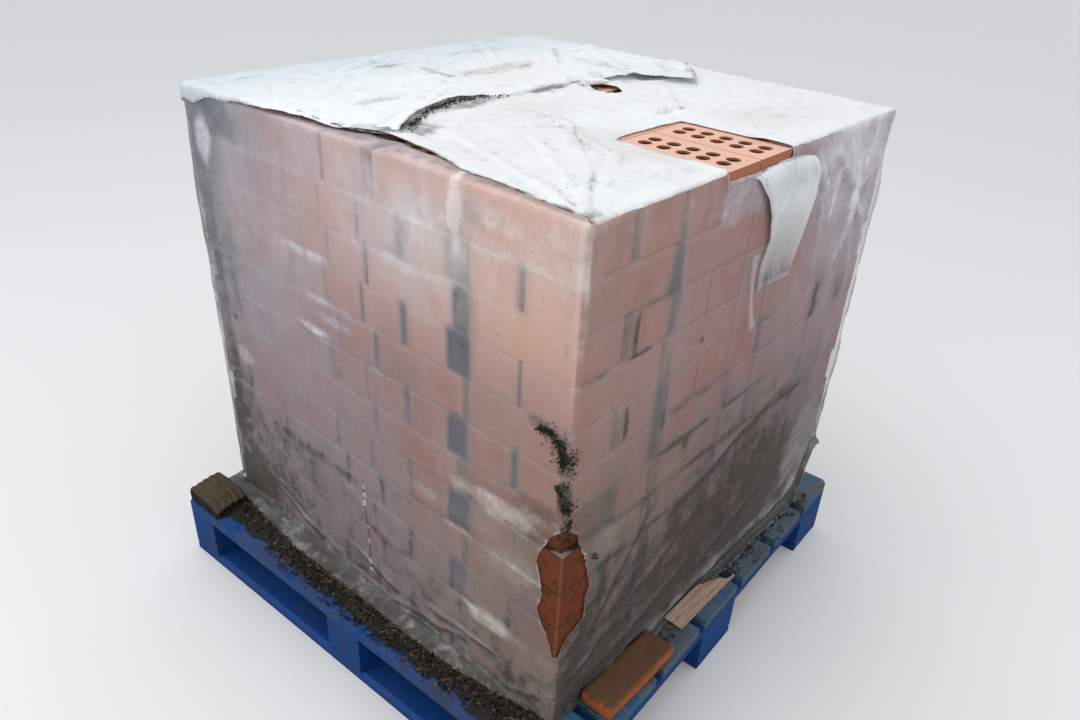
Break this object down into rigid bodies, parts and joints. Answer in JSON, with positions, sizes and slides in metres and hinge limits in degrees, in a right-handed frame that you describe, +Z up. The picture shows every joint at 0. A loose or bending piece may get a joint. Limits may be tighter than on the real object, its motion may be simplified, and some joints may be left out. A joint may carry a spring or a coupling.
{
  "type": "pallet of bricks",
  "caption": "Pack of perforated clay bricks in bonded courses on a blue wooden block pallet, under a torn, dirty polythene hood with a window and a corner tear.",
  "frame": {"origin": "on the ground under the centre of the pallet, which is also the bottom centre of the bounding box", "axes": "+X along the pack's end that has the window, to its right as seen from that end; +Y from that end to the back; +Z up"},
  "size_m": [1.1392, 1.1406, 1.1058],
  "materials": {
    "deck_paint": "blue paint worn thin, grey weathered wood showing through",
    "pallet_paint": "blue paint on sawn wood",
    "brick": "matt fired clay",
    "bare_brick": "matt fired clay, washed by rain",
    "film": "milky weathered polythene film with dirt and algae",
    "loose_brick": "matt fired clay with a dirty top",
    "weathered_wood": "wet, rotten, nearly black wood",
    "split_wood": "pale split wood"
  },
  "bodies": {
    "root": {"deck_board_1": "deck_paint", "deck_board_2": "deck_paint", "deck_board_3": "deck_paint", "deck_board_4": "deck_paint", "deck_board_5": "deck_paint", "deck_board_6": "deck_paint", "deck_board_7": "deck_paint", "cross_board_1": "pallet_paint", "cross_board_2": "pallet_paint", "cross_board_3": "pallet_paint", "block_1": "pallet_paint", "block_2": "pallet_paint", "block_3": "pallet_paint", "block_4": "pallet_paint", "block_5": "pallet_paint", "block_6": "pallet_paint", "block_7": "pallet_paint", "block_8": "pallet_paint", "block_9": "pallet_paint", "bottom_board_1": "pallet_paint", "bottom_board_2": "pallet_paint", "bottom_board_3": "pallet_paint", "course_01": "brick", "course_02": "brick", "course_03": "brick", "course_04": "brick", "course_05": "brick", "course_06": "brick", "course_07": "brick", "course_08": "brick", "course_09": "brick", "course_10": "brick", "course_11": "brick", "course_12": "brick", "bare_bricks": "bare_brick", "film_hood": "film", "loose_brick": "loose_brick", "bearer_offcut": "weathered_wood", "board_sliver": "split_wood"}
  },
  "joints": []
}
